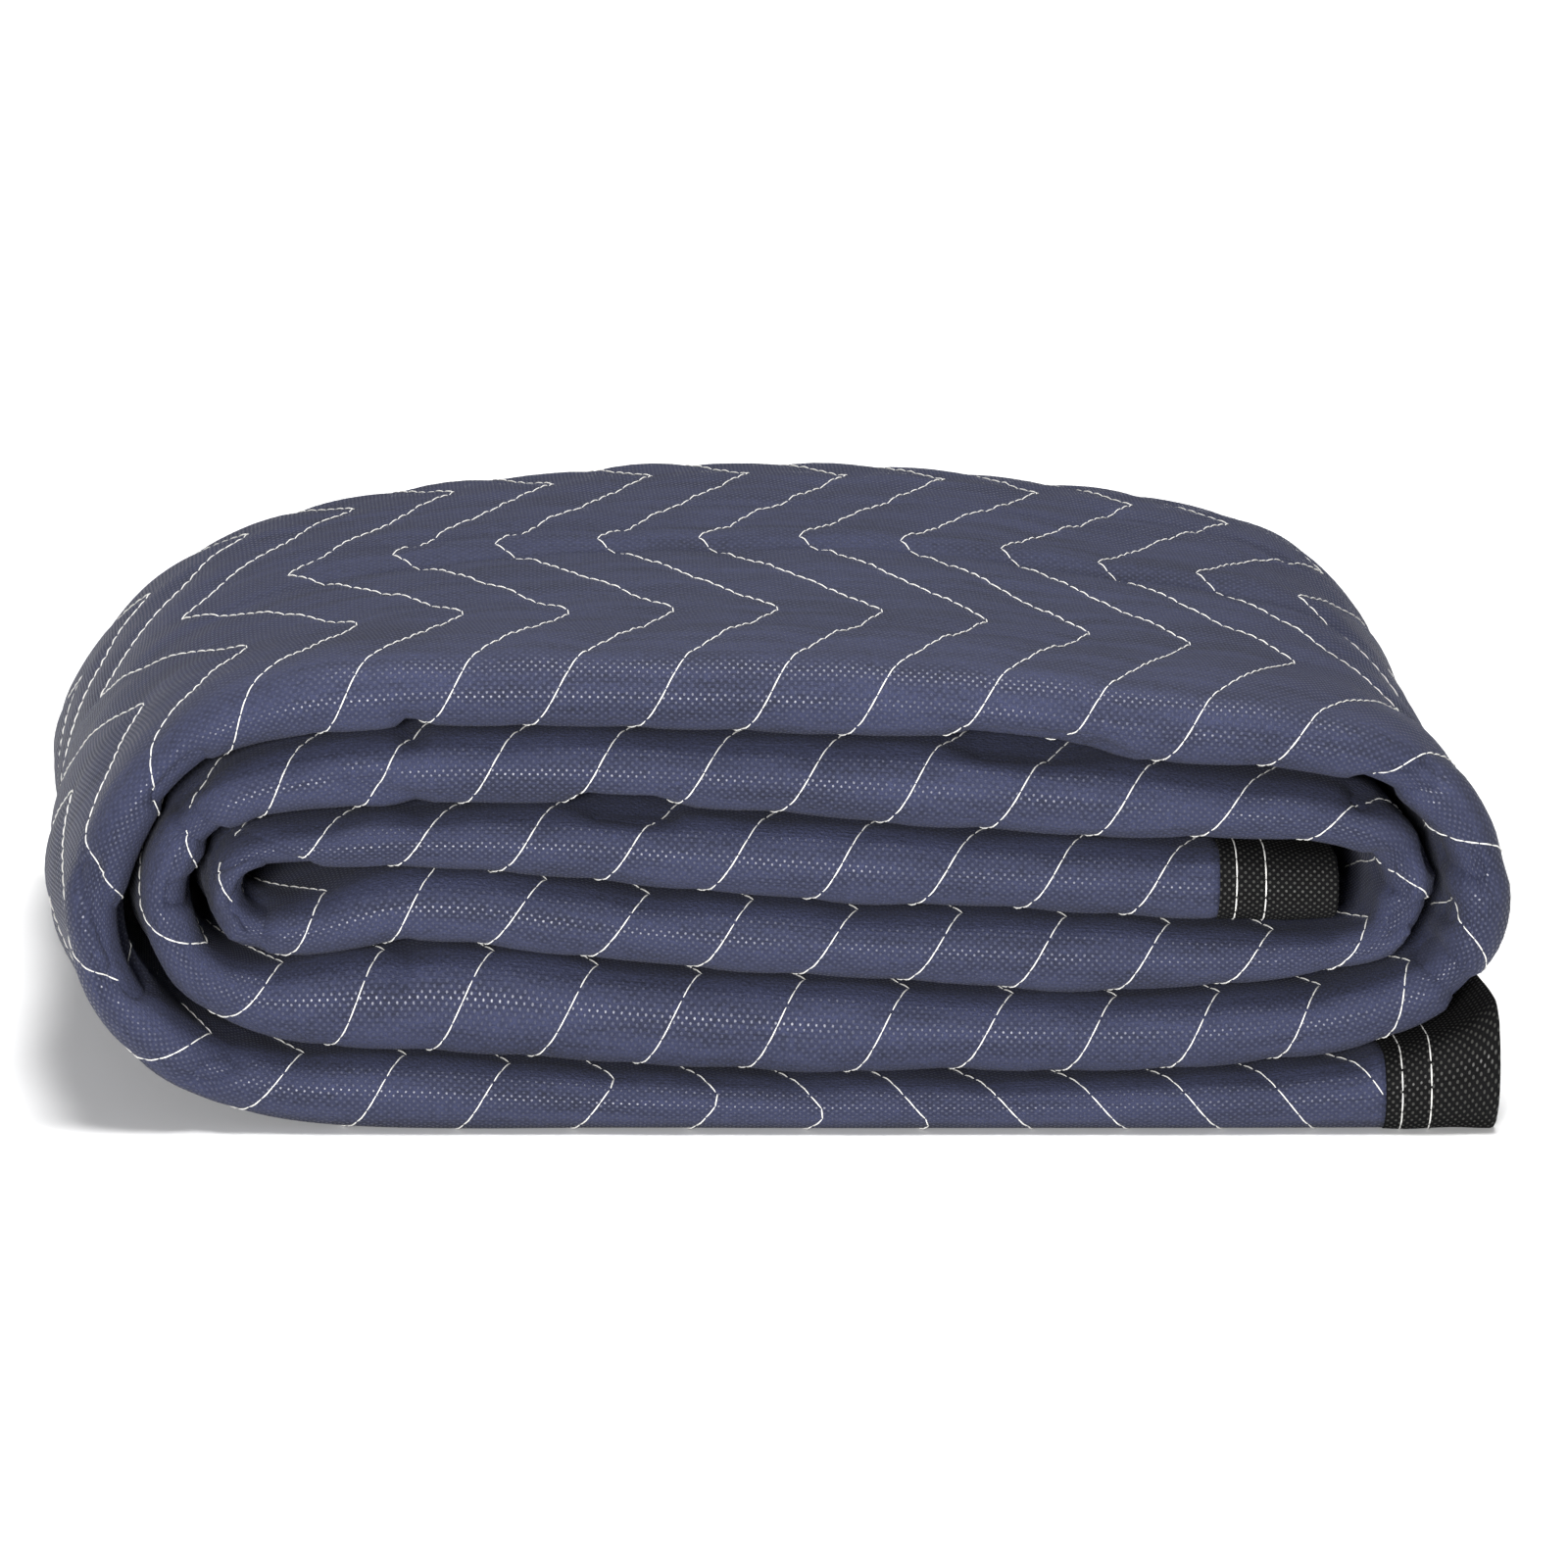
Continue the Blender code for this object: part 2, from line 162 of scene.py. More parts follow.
# %% The runs of the section
PLIES = 6
PLY_GAP = 0.6
STRIP_DEPTH = 305.0
NOSE_DEPTH = 10.0
SEAM_DEPTH = 268.0
FOLD_RUN = 32.0
FRONT_FOLD = NOSE_DEPTH * math.pi
SECTION = (  # shape, level or middle in plies, radius in plies, side of the face, length
    ("forward", 0.5, 0.0, -1, SEAM_DEPTH - NOSE_DEPTH),
    ("front", 0.0, 0.5, -1, 5.0),
    ("backward", -0.5, 0.0, 1, SEAM_DEPTH - NOSE_DEPTH + FOLD_RUN),
    ("back", -1.5, 1.0, 1, 10.0),
    ("forward", -2.5, 0.0, -1, SEAM_DEPTH - NOSE_DEPTH + FOLD_RUN),
    ("front", 0.0, 2.5, 1, FRONT_FOLD),
    ("backward", 2.5, 0.0, 1, SEAM_DEPTH - NOSE_DEPTH + FOLD_RUN),
    ("back", 2.0, 0.5, 1, 6.0),
    ("forward", 1.5, 0.0, -1, SEAM_DEPTH - NOSE_DEPTH + FOLD_RUN),
    ("front", 0.0, 1.5, -1, 14.0),
    ("backward", -1.5, 0.0, 1, SEAM_DEPTH - NOSE_DEPTH),
)
OUTER_FOLD = 5
lengths = [row[-1] for row in SECTION]
run_starts = np.cumsum([0.0] + lengths) - sum(lengths[:OUTER_FOLD]) - FRONT_FOLD / 2
WIDTH_FROM, WIDTH_TO = float(run_starts[0]), float(run_starts[-1])
print(f"quilted cloth is {WIDTH_TO - WIDTH_FROM:.0f} mm wide between its side bindings")


def section_place(across, face, thickness):
    """Depth and height in the strip of points on the cloth, counted from the outer front fold."""
    pitch = (thickness + PLY_GAP) / PLIES
    half = (pitch - PLY_GAP) / 2
    depth = np.zeros_like(across)
    height = np.zeros_like(across)
    for number, (shape, level, radius, side, length) in enumerate(SECTION):
        here = (across >= run_starts[number]) & (across <= run_starts[number + 1])
        done = (across - run_starts[number]) / length
        if shape in ("forward", "backward"):
            walked = (1 - done if shape == "forward" else done) * length + NOSE_DEPTH
            back = np.interp(number, (0, 2, 4, 6, 8, 10), (0.0, 1.0, 1.0, 0.5, 0.5, 0.0))
            fold_start = STRIP_DEPTH - back * pitch - half
            beyond = (walked - SEAM_DEPTH) / FOLD_RUN
            run_depth = np.where(beyond > 0, SEAM_DEPTH + beyond * (fold_start - SEAM_DEPTH),
                                 walked)
            run_height = level * pitch + side * face * half
        else:
            turn = (done - 0.5) if number == OUTER_FOLD else (0.5 - done)
            angle = turn * math.pi
            reach = radius * pitch + side * face * half
            run_height = level * pitch + reach * np.sin(angle)
            if shape == "front":
                run_depth = NOSE_DEPTH * (1 - reach / (thickness / 2) * np.cos(angle))
            else:
                run_depth = (STRIP_DEPTH - radius * pitch - half) + reach * np.cos(angle)
        depth = np.where(here, run_depth, depth)
        height = np.where(here, run_height, height)
    return depth, height


# %% [markdown]
# ## Folding the cloth
# A cloth simulation would have to fold two square metres twelve times over, which is slow and
# never lands as in the photograph. Instead one rule takes a point of the flat cloth, given by
# its distance along the strip and across it, to its place in the pile. Behind the front folds
# the pile eases: towards the back it leans to -X, stands higher and slopes off at its sides.

# %% The folding rule
HALF_SPAN = 170.0
LEAN = (-10.0, 3.4, -2.8)
LEAN_SLOPE = (0.053, -0.061)
EASE = np.array((  # depth, share of the lean, rise as a share
    (0.0, 0.0, 0.0),
    (10.0, 0.05, 0.015),
    (67.0, 0.65, 0.030),
    (154.0, 1.0, 0.057),
    (268.0, 1.6, 0.060),
    (305.0, 1.7, 0.0),
))


def eased(depth, column):
    """A smooth line through one column of the ease table."""
    slopes = np.gradient(EASE[:, column], EASE[:, 0])
    row = np.clip(np.searchsorted(EASE[:, 0], depth) - 1, 0, len(EASE) - 2)
    span = EASE[row + 1, 0] - EASE[row, 0]
    t = np.clip((depth - EASE[row, 0]) / span, 0, 1)
    return ((2 * t ** 3 - 3 * t ** 2 + 1) * EASE[row, column]
            + (t ** 3 - 2 * t ** 2 + t) * span * slopes[row]
            + (3 * t ** 2 - 2 * t ** 3) * EASE[row + 1, column]
            + (t ** 3 - t ** 2) * span * slopes[row + 1])


def fold(along, across, face, place=section_place):
    """Where points of the flat cloth lie in the pile, in millimetres, before the origin moves."""
    x, z, thickness = (np.interp(along, winding_distance, winding[:, i]) for i in range(3))
    along_x, along_z = (np.interp(along, winding_distance, heading[:, i]) for i in range(2))
    far, near = OUTER_END_UPRIGHT
    upright = np.clip((along - LENGTH + far) / (far - near), 0, 1)
    up_x = (1 - upright) * along_z
    up_z = -upright - (1 - upright) * along_x
    size = np.hypot(up_x, up_z)
    depth, height = place(across, face, thickness)
    x = x + height * up_x / size
    z = np.clip(z + height * up_z / size, 0, None)
    lean, rise = eased(depth, 1), eased(depth, 2)
    side = x / HALF_SPAN
    x = x + lean * (LEAN[0] + LEAN[1] * side + LEAN[2] * side ** 2)
    rise = rise + lean * (LEAN_SLOPE[0] * side + LEAN_SLOPE[1] * side ** 2)
    return np.column_stack([x, depth, z * (1 + rise)])


def facing(along, across, face):
    """The direction out of the cloth at the same points, from two short steps over it."""
    step = 0.5
    forward = fold(along + step, across, face) - fold(along - step, across, face)
    aside = fold(along, across + step, face) - fold(along, across - step, face)
    out = np.cross(aside, forward)
    out /= np.linalg.norm(out, axis=1)[:, None] + 1e-12
    return out * np.sign(face)[:, None]


probe = fold(np.array([1600.0]), np.array([100.0]), np.array([1.0]))
print("a point of the top layer:", probe.round(1))
print("and out of it:", facing(np.array([1600.0]), np.array([100.0]), np.array([1.0])).round(2))

# %% [markdown]
# ## Quilting, ripples and creases as a height above the cloth
# The needle pulls both faces together along zigzag lines an inch apart, and the padding stands
# up between them. Handling adds ripples along the layers and short pinches where the strip
# turns. All of these are heights pushed out of the cloth's face: a groove along the lines, sums
# of waves for the ripples, and a table of creases placed against the photograph.

# %% The zigzag lines and their groove
ORIGIN = np.array([-12.94, 152.5, 0.0])
QUILT_PITCH = 25.9
QUILT_START = 6.0
ZIGZAG_SWING = 44.5
ZIGZAG_HALF_WAVE = 87.0
ZIGZAG_POINT = 71.0
DRIFT_START = 1762.0  # from here on the fold wanders off the pattern, as the bottom layer shows
DRIFT = 0.21
PANEL_START, PANEL_END = 29.0, LENGTH - 29.0


def zigzag(across, sewn):
    """How far a quilting line sewn at a distance has swung along the strip."""
    point = ZIGZAG_POINT + DRIFT * np.maximum(sewn - DRIFT_START, 0)
    phase = ((across - point) / ZIGZAG_HALF_WAVE) % 2
    return ZIGZAG_SWING * (np.minimum(phase, 2 - phase) - 0.5)


def from_line(along, across):
    """Distance to the nearest quilting line, square to it."""
    line = np.round((along - zigzag(across, along) - QUILT_START) / QUILT_PITCH)
    sewn = QUILT_START + line * QUILT_PITCH
    slope = math.atan2(ZIGZAG_SWING, ZIGZAG_HALF_WAVE)
    return np.abs(along - zigzag(across, sewn) - sewn) * math.cos(slope)


def waves(along, across, table):
    """A sum of waves; each row is a length along, a length across, a shift and a height."""
    total = np.zeros_like(along)
    for long, wide, shift, height in table:
        total += height * np.sin(2 * math.pi * (along / long + across / wide) + shift)
    return total


SAG = (  # slow unevenness of the padding
    (97.0, 310.0, 0.4, 0.22),
    (61.0, -190.0, 2.1, 0.20),
    (43.0, 140.0, 4.0, 0.16),
)
RIPPLES = (  # ripples that run along the layers, on the flat of the roll
    (610.0, 41.0, 0.3, 0.30),
    (-430.0, 29.0, 1.9, 0.22),
    (290.0, 22.0, 3.1, 0.14),
)
print("distance from a line, on it and halfway to the next:",
      from_line(np.array([QUILT_START, QUILT_START + QUILT_PITCH / 2]),
                np.array([27.5, 27.5])).round(1))

# %% [markdown]
# ## Creases placed one by one
# Each front crease is a short line as the camera sees it, from one x and height to another, with
# the width and depth of its soft trough; a minus depth is a ridge. Each top crease is the same
# on the flat of the roll, from one x and depth behind the front to another.

# %% Two tables of creases, in millimetres
FRONT_CREASES = (  # x, height, to x, to height, width, depth
    (-171.5, 66.0, -168.4, 57.9, 3.2, 7.4),
    (-168.4, 57.9, -164.0, 50.0, 3.4, 8.1),
    (-164.0, 50.0, -158.6, 38.6, 3.2, 6.8),
    (-144.2, 93.2, -150.7, 85.4, 3.2, 7.4),
    (-151.0, 60.5, -144.6, 60.6, 2.8, 5.4),
    (-146.5, 80.0, -139.2, 73.4, 3.0, 5.4),
    (-138.1, 71.4, -129.0, 72.2, 2.8, 5.4),
    (-129.0, 72.2, -118.8, 64.6, 2.8, 4.9),
    (-130.3, 61.0, -130.3, 48.5, 2.8, 5.4),
    (-138.6, 54.5, -131.8, 59.0, 2.6, 3.2),
    (-105.5, 90.1, -89.5, 82.8, 3.4, 2.4),
    (-166.4, 39.4, -161.5, 42.1, 3.0, 3.2),
    (-144.0, 14.0, -138.0, 18.9, 3.2, 4.6),
    (-92.9, 45.2, -95.6, 39.8, 2.6, 2.2),
    (-92.0, 105.0, -91.8, 99.8, 2.4, 2.4),
    (-48.0, 82.2, -31.0, 81.4, 3.0, 3.5),
    (47.0, 98.2, 78.0, 97.0, 3.6, 4.3),
    (143.0, 85.8, 158.8, 90.2, 3.0, 5.9),
    (161.4, 70.0, 172.0, 66.2, 3.0, 5.9),
    (172.0, 66.2, 174.5, 65.6, 2.8, 2.6),
    (145.9, 68.6, 153.7, 70.2, 2.6, 4.3),
    (144.2, 65.2, 152.2, 61.8, 2.6, 4.1),
    (150.0, 54.2, 161.4, 55.4, 3.0, 5.4),
    (157.6, 47.0, 164.3, 40.0, 3.0, 5.7),
    (164.3, 40.0, 169.0, 34.4, 3.0, 5.4),
)
TOP_CREASES = (  # x, depth, to x, to depth, width, depth of the trough
    (-150.0, 130.0, -60.0, 143.0, 5.5, 2.0),
    (-60.0, 143.0, 40.0, 145.0, 4.5, 2.3),
    (40.0, 145.0, 110.0, 141.0, 4.5, 2.2),
    (110.0, 141.0, 165.0, 132.0, 5.5, 1.6),
    (-120.0, 156.0, 0.0, 159.0, 7.0, -1.1),
    (0.0, 159.0, 140.0, 153.0, 7.0, -1.1),
    (-20.0, 196.0, 60.0, 204.0, 4.5, 1.0),
    (60.0, 204.0, 140.0, 196.0, 4.5, 1.3),
    (90.0, 222.0, 160.0, 208.0, 4.5, 1.2),
    (-140.0, 100.0, -60.0, 108.0, 4.5, 0.7),
    (60.0, 108.0, 140.0, 116.0, 4.5, 0.7),
    (-60.0, 60.0, 10.0, 64.0, 5.0, 0.5),
)


def creased(a, b, table):
    """The troughs of a table of creases, at points of the plane the table is given in."""
    troughs = np.zeros_like(a)
    ridges = np.zeros_like(a)
    for a0, b0, a1, b1, width, depth in table:
        run = np.array([a1 - a0, b1 - b0])
        share = np.clip(((a - a0) * run[0] + (b - b0) * run[1]) / (run @ run), 0, 1)
        away = np.hypot(a - a0 - share * run[0], b - b0 - share * run[1])
        height = -depth * np.exp(-(away / width) ** 2)
        troughs = np.minimum(troughs, height)
        ridges = np.maximum(ridges, height)
    return troughs + ridges


SHOWN_ACROSS = 330.0  # the outer face shows as far across as this
FLOOR_FADE = 14.0  # below this height the relief fades towards the floor
WRAP_FROM, WRAP_FADE = 1150.0, 60.0  # where along the strip the outer wrap starts, and how softly
SEAM_DEEP, SEAM_WIDE = 0.35, 3.0  # the sharp part of the groove
PULL_DEEP, PULL_WIDE = 0.25, 7.0  # the soft part, where the thread pulls the padding down


def relief(along, across, face):
    """Height of the cloth's face above its plain fold, in millimetres."""
    x, depth, z = fold(along, across, face).T
    out = facing(along, across, face)
    outside = (face > 0) & (np.abs(across) < SHOWN_ACROSS)
    off_floor = np.clip(z / FLOOR_FADE, 0, 1)
    wound = np.clip((along - WRAP_FROM) / WRAP_FADE, 0, 1) * np.clip(across / 30, 0, 1)
    near = from_line(along, across)
    groove = (-SEAM_DEEP * np.exp(-(near / SEAM_WIDE) ** 2)
              - PULL_DEEP * np.exp(-(near / PULL_WIDE) ** 2))
    height = groove * (1 + 0.7 * wound) + waves(along, across, SAG)
    level = np.clip(out[:, 2], 0, 1) ** 2 * wound
    height += level * waves(along, across, RIPPLES)
    height += np.clip((24 - depth) / 12, 0, 1) * creased(x, z, FRONT_CREASES)
    height += level * (z > 80) * creased(x, depth, TOP_CREASES)
    return np.where(outside, height * off_floor, 0.0)


def cloth_point(along, across, face, above=0.0):
    """A point on the finished face of the cloth, in metres from the part's origin."""
    along, across, face = (np.atleast_1d(np.asarray(v, float)) for v in (along, across, face))
    out = facing(along, across, face)
    lifted = fold(along, across, face) + out * (relief(along, across, face) + above)[:, None]
    lifted[:, 2] = np.maximum(lifted[:, 2], 0.0)
    return (lifted - ORIGIN) * MILLIMETRE


print("creases by hand:", len(FRONT_CREASES) + len(TOP_CREASES))

# %% [markdown]
# ## The quilted cloth
# On the real blanket this is one flat panel with two faces. A grid could be folded and then
# thickened, but the inside of the plies never shows, and this would spend as many faces there
# as outside. So a grid is closed into a flat band with fine columns on the side that shows and
# coarse ones on the other, its ends are filled while it is still flat, and then every point goes
# to its place by the folding rule.

# %% Where the columns and rows of the grid lie
def stepped(*stops):
    """Numbers from the first stop on, each next pair giving a step and where it goes to."""
    numbers = [stops[0]]
    for step, to in zip(stops[1::2], stops[2::2]):
        count = max(1, round(abs(to - numbers[-1]) / step))
        numbers.extend(np.linspace(numbers[-1], to, count + 1)[1:])
    return np.array(numbers)


fold_half = FRONT_FOLD / 2
outer_back = run_starts[OUTER_FOLD + 2]
outer_columns = stepped(
    WIDTH_FROM, 70, run_starts[1], 2.5, run_starts[2], 70, run_starts[3] - 30, 15,
    run_starts[3], 1.7, run_starts[4], 12, run_starts[4] + 34, 70, -60, 10, -30, 4.8,
    -fold_half, 1.75, fold_half, 4.1, outer_back - 6, 3, outer_back, 1.5,
    run_starts[OUTER_FOLD + 3], 10, run_starts[OUTER_FOLD + 3] + 20, 75,
    run_starts[9], 4.7, run_starts[10], 70, WIDTH_TO)
inner_columns = stepped(
    WIDTH_TO, 70, run_starts[10], 5, run_starts[9], 75, run_starts[8], 2,
    run_starts[7], 75, fold_half, 6.5, -fold_half, 75, run_starts[4], 3.4, run_starts[3],
    75, run_starts[2], 3, run_starts[1], 70, WIDTH_FROM)
TURN_FROM = 90.0
spacing = np.where(np.abs(winding[:, 0]) > TURN_FROM, 2.6, 5.4)
crowding = np.concatenate([[0.0], np.cumsum(np.diff(winding_distance) / spacing[1:])])


def bent_rows(start, end):
    """Distances along the strip, closer together where it turns."""
    first, last = np.interp((start, end), winding_distance, crowding)
    return np.interp(np.linspace(first, last, int(last - first) + 1), crowding,
                     winding_distance)


cloth_rows = bent_rows(PANEL_START, PANEL_END)
print("columns:", len(outer_columns), "outside and", len(inner_columns), "inside;",
      "rows:", len(cloth_rows))

# %% A flat band from a grid, then folded
def flat_band(columns_out, columns_in, rows):
    """A closed flat band of cloth as a bmesh, with its measures kept on every vertex."""
    across = np.concatenate([columns_out, columns_in, columns_out[:1]])
    face = np.concatenate([np.ones(len(columns_out)), -np.ones(len(columns_in)), [1.0]])
    band = bmesh.new()
    keep = {name: band.verts.layers.float.new(name) for name in ("along", "across", "face")}
    made = bmesh.ops.create_grid(band, x_segments=len(across) - 1, y_segments=len(rows) - 1,
                                 size=1)
    for number, vertex in enumerate(made["verts"]):
        row, column = divmod(number, len(across))
        vertex[keep["along"]] = rows[row]
        vertex[keep["across"]] = across[column]
        vertex[keep["face"]] = face[column]
        vertex.co = (across[column], rows[row], face[column])
    bmesh.ops.remove_doubles(band, verts=band.verts[:], dist=1e-4)
    ends = bmesh.ops.holes_fill(band, edges=[e for e in band.edges if e.is_boundary], sides=0)
    bmesh.ops.triangulate(band, faces=ends["faces"])
    bmesh.ops.recalc_face_normals(band, faces=band.faces[:])
    return band, keep


def finish_band(name, band, keep, folded):
    """Move a flat band to its folded place, lay its measures out as UV in metres, and keep it."""
    band.verts.ensure_lookup_table()
    measures = np.array([[v[keep[k]] for k in ("along", "across", "face")] for v in band.verts])
    places = folded(*measures.T)
    for vertex, place in zip(band.verts, places):
        vertex.co = place
    chart = band.loops.layers.uv.new("cloth")
    for face in band.faces:
        face.smooth = True
        for loop in face.loops:
            vertex = loop.vert
            loop[chart].uv = (vertex[keep["across"]] * MILLIMETRE,
                              vertex[keep["along"]] * MILLIMETRE)
    if band.calc_volume(signed=True) < 0:
        bmesh.ops.reverse_faces(band, faces=band.faces[:])
    mesh = bpy.data.meshes.new(name)
    band.to_mesh(mesh)
    band.free()
    piece = bpy.data.objects.new(name, mesh)
    bpy.context.scene.collection.objects.link(piece)
    triangles = sum(len(p.vertices) - 2 for p in mesh.polygons)
    print(f"{name}: {triangles} triangles")
    return piece


band, keep = flat_band(outer_columns, inner_columns, cloth_rows)
quilted_cloth = finish_band("quilted_cloth", band, keep, cloth_point)

# %% [markdown]
# ## The bindings
# A band of black non-woven is folded over every edge of the cloth and sewn down. At the two
# short ends it follows all six plies of the strip, so it is made as the cloth is: a flat band,
# a little thicker than the cloth, laid over the end and folded by the same rule. Its free edge is
# rounded by thinning the last rows, as a fold in real cloth is.

# %% The bindings of the two short ends
BINDING_WIDTH = 29.3
BINDING_LIFT = 0.22
EDGE_ROUNDING = 1.6


def end_binding_place(along_from_edge, across, face, along):
    """A point on the binding round a short end, in metres."""
    rounded = np.sqrt(1 - np.clip(1 - along_from_edge / EDGE_ROUNDING, 0, 1) ** 2)
    thinned = face * (0.12 + 0.88 * rounded)
    out = facing(along, across, face)
    placed = fold(along, across, thinned) + out * BINDING_LIFT
    wobble = 0.25 * np.sin(across / 9 + along / 4) * np.clip(along_from_edge / 6, 0, 1)
    outermost = (face > 0) & (np.abs(across) < 300)
    placed += out * np.where(outermost, wobble, 0)[:, None]
    placed[:, 2] = np.maximum(placed[:, 2], 0.0)
    return (placed - ORIGIN) * MILLIMETRE


every_second = np.arange(len(outer_columns)) % 2 == 0
end_columns = outer_columns[every_second | (np.abs(outer_columns) < 40)]
edge_rows = np.array([0.0, 0.3, 0.8, 1.6, 3.5, 6.0, 9.0, 12.0, 15.0, 18.0, 21.0, 24.0, 27.0,
                      BINDING_WIDTH])

band, keep = flat_band(end_columns, inner_columns, edge_rows)
inner_end_binding = finish_band(
    "inner_end_binding", band, keep,
    lambda along, across, face: end_binding_place(along, across, face, along))
band, keep = flat_band(end_columns, inner_columns, LENGTH - edge_rows[::-1])
outer_end_binding = finish_band(
    "outer_end_binding", band, keep,
    lambda along, across, face: end_binding_place(LENGTH - along, across, face, along))

# %% [markdown]
# Along the two side edges of the cloth the binding is a long narrow band. Both of these edges
# come out at the back of the pile: one between the two back folds, and one inside the wide fold.

# %% The bindings of the two long sides
EDGE_REACH = 29.0


def side_binding_place(level, across, face, along):
    """A point on a side binding; across runs from 0 at the free edge to the seam."""
    thickness = np.interp(along, winding_distance, winding[:, 2])
    pitch = (thickness + PLY_GAP) / PLIES
    half = (pitch - PLY_GAP) / 2
    edge = SEAM_DEPTH + EDGE_REACH
    if level < 0:
        edge = np.minimum(edge, STRIP_DEPTH - pitch - half - 3.0)
    rounded = np.sqrt(1 - np.clip(1 - across / EDGE_ROUNDING, 0, 1) ** 2)
    thinned = face * (0.12 + 0.88 * rounded) * (half + 0.1)

    def place(_, side, __):
        depth = edge - across / EDGE_REACH * (edge - SEAM_DEPTH)
        return depth, level * pitch + side

    return (fold(along, across, thinned, place) - ORIGIN) * MILLIMETRE


side_columns = np.array([0.0, 0.4, 1.0, 2.2, 6.0, 12.0, 20.0, EDGE_REACH])
side_rows = bent_rows(PANEL_START, PANEL_END)[::2]
side_bindings = {}
for name, level in (("shown_side_binding", 0.5), ("tucked_side_binding", -1.5)):
    band, keep = flat_band(side_columns, side_columns[::-1], side_rows)
    side_bindings[name] = finish_band(
        name, band, keep,
        lambda along, across, face: side_binding_place(level, across, face, along))

# %% [markdown]
# ## The stitches
# The quilting thread shows as white dashes of almost five millimetres with short gaps, each
# pulled into the cloth at both ends. A thread could be drawn in the material, but a real one
# stands up and catches the light, so each stitch is a short curve with a round section, dropped
# onto the finished cloth. The curves of one kind are turned into one mesh.

# %% Stitches from short curves
THREAD_RADIUS = 0.19
STITCH_PITCH = 5.2
STITCH_LENGTH = 4.75
STITCH_SHAPE = np.array((  # share of the stitch, height over the cloth, thickness as a share
    (0.0, -0.05, 0.7),
    (0.18, 0.12, 1.0),
    (0.5, 0.22, 1.1),
    (0.82, 0.12, 1.0),
    (1.0, -0.05, 0.7),
))
OFF_FLOOR = 1.3 * THREAD_RADIUS * MILLIMETRE
LOOK_FROM, LOOK_DOWN = 1.0, 2.6  # a stitch is seated by looking down from here, this far
LOOK_AROUND = 4.0  # and where nothing is met, by the nearest cloth within this distance
SAME_WAY = 0.2  # how well the cloth that is met has to face the way it should

cloth_tree = BVHTree.FromObject(quilted_cloth, bpy.context.evaluated_depsgraph_get())


def on_cloth(along, across, above):
    """Points a little above the finished cloth, found by looking down onto its mesh."""
    face = np.ones_like(along)
    out = facing(along, across, face)
    places = cloth_point(along, across, face, above)
    for number, way in enumerate(out):
        start = Vector(places[number] + way * (LOOK_FROM - above[number]) * MILLIMETRE)
        hit, normal = cloth_tree.ray_cast(start, Vector(-way), LOOK_DOWN * MILLIMETRE)[:2]
        if hit is None or normal.dot(Vector(way)) < SAME_WAY:
            hit = cloth_tree.find_nearest(start, LOOK_AROUND * MILLIMETRE)[0]
        if hit is not None:
            places[number] = np.array(hit) + way * above[number] * MILLIMETRE
    places[:, 2] = np.maximum(places[:, 2], OFF_FLOOR)
    return places


def sew(name, ends, lay):
    """One mesh of stitches: ends are rows of (along, across) pairs, and lay puts them on cloth."""
    ends = np.array(ends)
    curve = bpy.data.curves.new(name, "CURVE")
    curve.dimensions = "3D"
    curve.bevel_depth = THREAD_RADIUS * MILLIMETRE
    curve.bevel_resolution = 0
    curve.use_fill_caps = True
    shares = STITCH_SHAPE[:, 0]
    middles = ends[:, None, :2] * (1 - shares)[None, :, None] + ends[:, None, 2:] * shares[
        None, :, None]
    heights = np.tile(STITCH_SHAPE[:, 1], len(ends))
    places = lay(middles[..., 0].ravel(), middles[..., 1].ravel(), heights)
    places = places.reshape(len(ends), len(shares), 3)
    for stitch in places:
        spline = curve.splines.new("POLY")
        spline.points.add(len(shares) - 1)
        for point, place, radius in zip(spline.points, stitch, STITCH_SHAPE[:, 2]):
            point.co = (*place, 1.0)
            point.radius = radius
    drawn = bpy.data.objects.new(name + "_curve", curve)
    bpy.context.scene.collection.objects.link(drawn)
    bpy.context.view_layer.update()
    solid = drawn.evaluated_get(bpy.context.evaluated_depsgraph_get())
    mesh = bpy.data.meshes.new_from_object(solid)
    mesh.name = name
    bpy.data.objects.remove(drawn, do_unlink=True)
    bpy.data.curves.remove(curve)
    mesh.shade_smooth()
    piece = bpy.data.objects.new(name, mesh)
    bpy.context.scene.collection.objects.link(piece)
    triangles = sum(len(p.vertices) - 2 for p in mesh.polygons)
    print(f"{name}: {len(ends)} stitches, {triangles} triangles")
    return piece


def broken_line(start, stop, way):
    """Stitch ends along one line: way gives (along, across) for a distance down it."""
    rng = np.random.default_rng(int(abs(start) * 7 + abs(stop) * 13) + 5)
    down = start
    rows = []
    while down + STITCH_LENGTH < stop:
        length = STITCH_LENGTH * rng.uniform(0.9, 1.08)
        rows.append((*way(down), *way(down + length)))
        down += STITCH_PITCH * rng.uniform(0.97, 1.05)
    return rows


# %% [markdown]
# The lines are the quilting's own, so each stitch lies in its groove. On the inner layers only
# the front fold shows, and on the outer wrap the whole face does.

# %% The quilting stitches
SLOPE_LENGTH = math.hypot(ZIGZAG_SWING, ZIGZAG_HALF_WAVE) / ZIGZAG_HALF_WAVE
OUTER_BACK = float(outer_back + 3)


